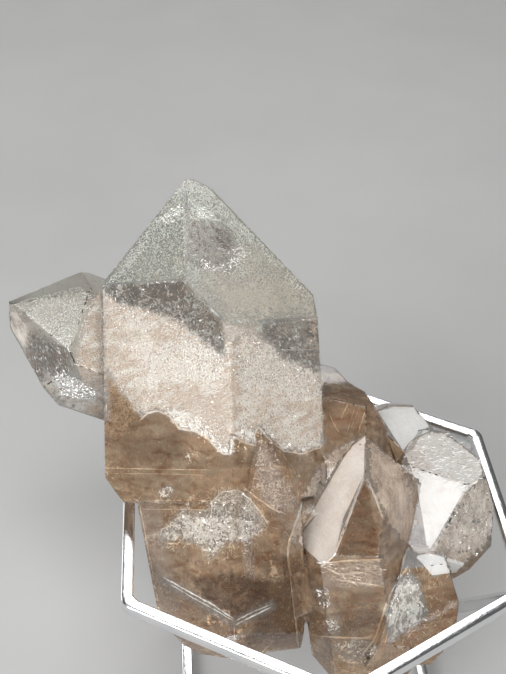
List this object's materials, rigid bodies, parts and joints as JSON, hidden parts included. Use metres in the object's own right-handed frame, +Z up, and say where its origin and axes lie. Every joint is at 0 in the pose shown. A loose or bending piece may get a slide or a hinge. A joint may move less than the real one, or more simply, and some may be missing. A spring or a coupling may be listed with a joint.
{
  "type": "smoky quartz cluster",
  "caption": "Smoky quartz cluster with a tall clear crystal over a brown included base, leaning back in a hexagonal chrome bar stand.",
  "frame": {"origin": "middle of the object's box in X and Y, at the underside of the stand's foot ring", "axes": "+Z up; -Y towards the side the picture was taken from; +X to the viewer's right"},
  "size_m": [0.1372, 0.1226, 0.1234],
  "materials": {
    "smoky_quartz": "clear to cloudy smoky quartz, frosted growth faces",
    "chrome": "polished chrome plate"
  },
  "bodies": {
    "root": {"quartz_cluster": "smoky_quartz", "ring_bar_rear_right": "chrome", "ring_bar_rear_left": "chrome", "ring_bar_left": "chrome", "ring_bar_front_left": "chrome", "ring_bar_front_right": "chrome", "ring_bar_right": "chrome", "foot_bar_rear_right": "chrome", "foot_bar_rear_left": "chrome", "foot_bar_left": "chrome", "foot_bar_front_left": "chrome", "foot_bar_front_right": "chrome", "foot_bar_right": "chrome", "strut_rear_right": "chrome", "strut_rear_left": "chrome", "strut_front": "chrome", "strut_front_right": "chrome"}
  },
  "joints": []
}
